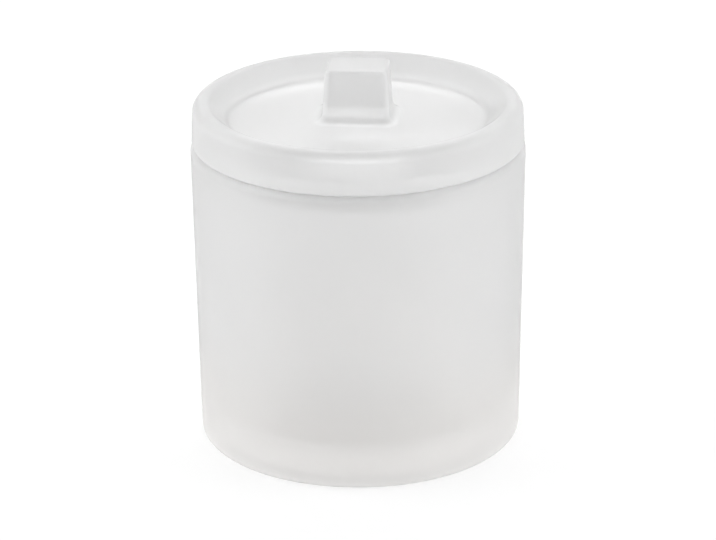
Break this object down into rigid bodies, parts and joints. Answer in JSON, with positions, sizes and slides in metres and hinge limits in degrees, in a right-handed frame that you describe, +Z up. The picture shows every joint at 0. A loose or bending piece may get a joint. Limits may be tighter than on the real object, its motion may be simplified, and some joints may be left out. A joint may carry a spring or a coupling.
{
  "type": "cosmetic jar",
  "caption": "Round satin-frosted glass jar with a thick base and a lift-off glass lid that has a dished top and a square pinch grip.",
  "frame": {"origin": "centre of the jar's base, in the plane of the ring that it stands on", "axes": "+Z up along the jar's axis; +X along the grip's wider side; -Y is the front, which the grip's broad face points to"},
  "size_m": [0.09, 0.09, 0.1043],
  "materials": {
    "jar_glass": "satin, acid-etched",
    "lid_glass": "satin, acid-etched"
  },
  "bodies": {
    "jar": {"jar": "jar_glass"},
    "lid": {"lid": "lid_glass"}
  },
  "joints": [
    {"name": "lid_lift", "type": "slide", "parent": "jar", "child": "lid", "axis": [0, 0, 1], "range_m": [0, 0.1]}
  ]
}
